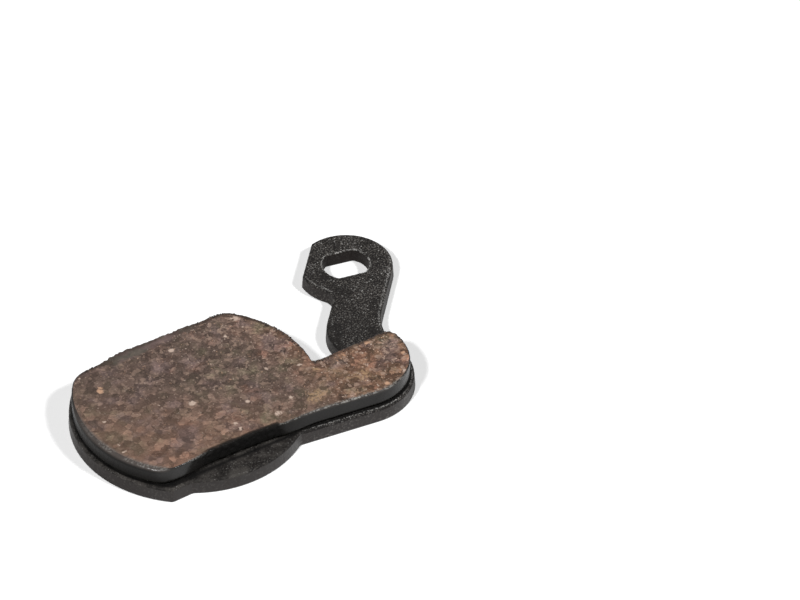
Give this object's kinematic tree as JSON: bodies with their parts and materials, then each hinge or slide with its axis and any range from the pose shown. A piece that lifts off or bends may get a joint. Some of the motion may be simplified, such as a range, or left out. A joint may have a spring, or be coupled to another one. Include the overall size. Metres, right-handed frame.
{
  "type": "bicycle disc brake pad",
  "caption": "Flat disc brake pad: a black stamped steel backing plate with a cranked arm and a slotted eye, and a brown-grey friction block moulded onto its face.",
  "frame": {"origin": "centre of the piston seat, on the backing plate's flat back face", "axes": "+Z from the back face to the friction face, +X along the block's straight edge towards the lobe, +Y to the side of the slotted eye"},
  "size_m": [0.048, 0.0298, 0.004],
  "materials": {
    "coated_steel": "granular black coat on the friction side, smooth black paint on the back",
    "friction_compound": "ground mottled brown-grey face with pale and copper grains, dark moulded sides"
  },
  "bodies": {
    "root": {"backing_plate": "coated_steel", "friction_pad": "friction_compound"}
  },
  "joints": []
}
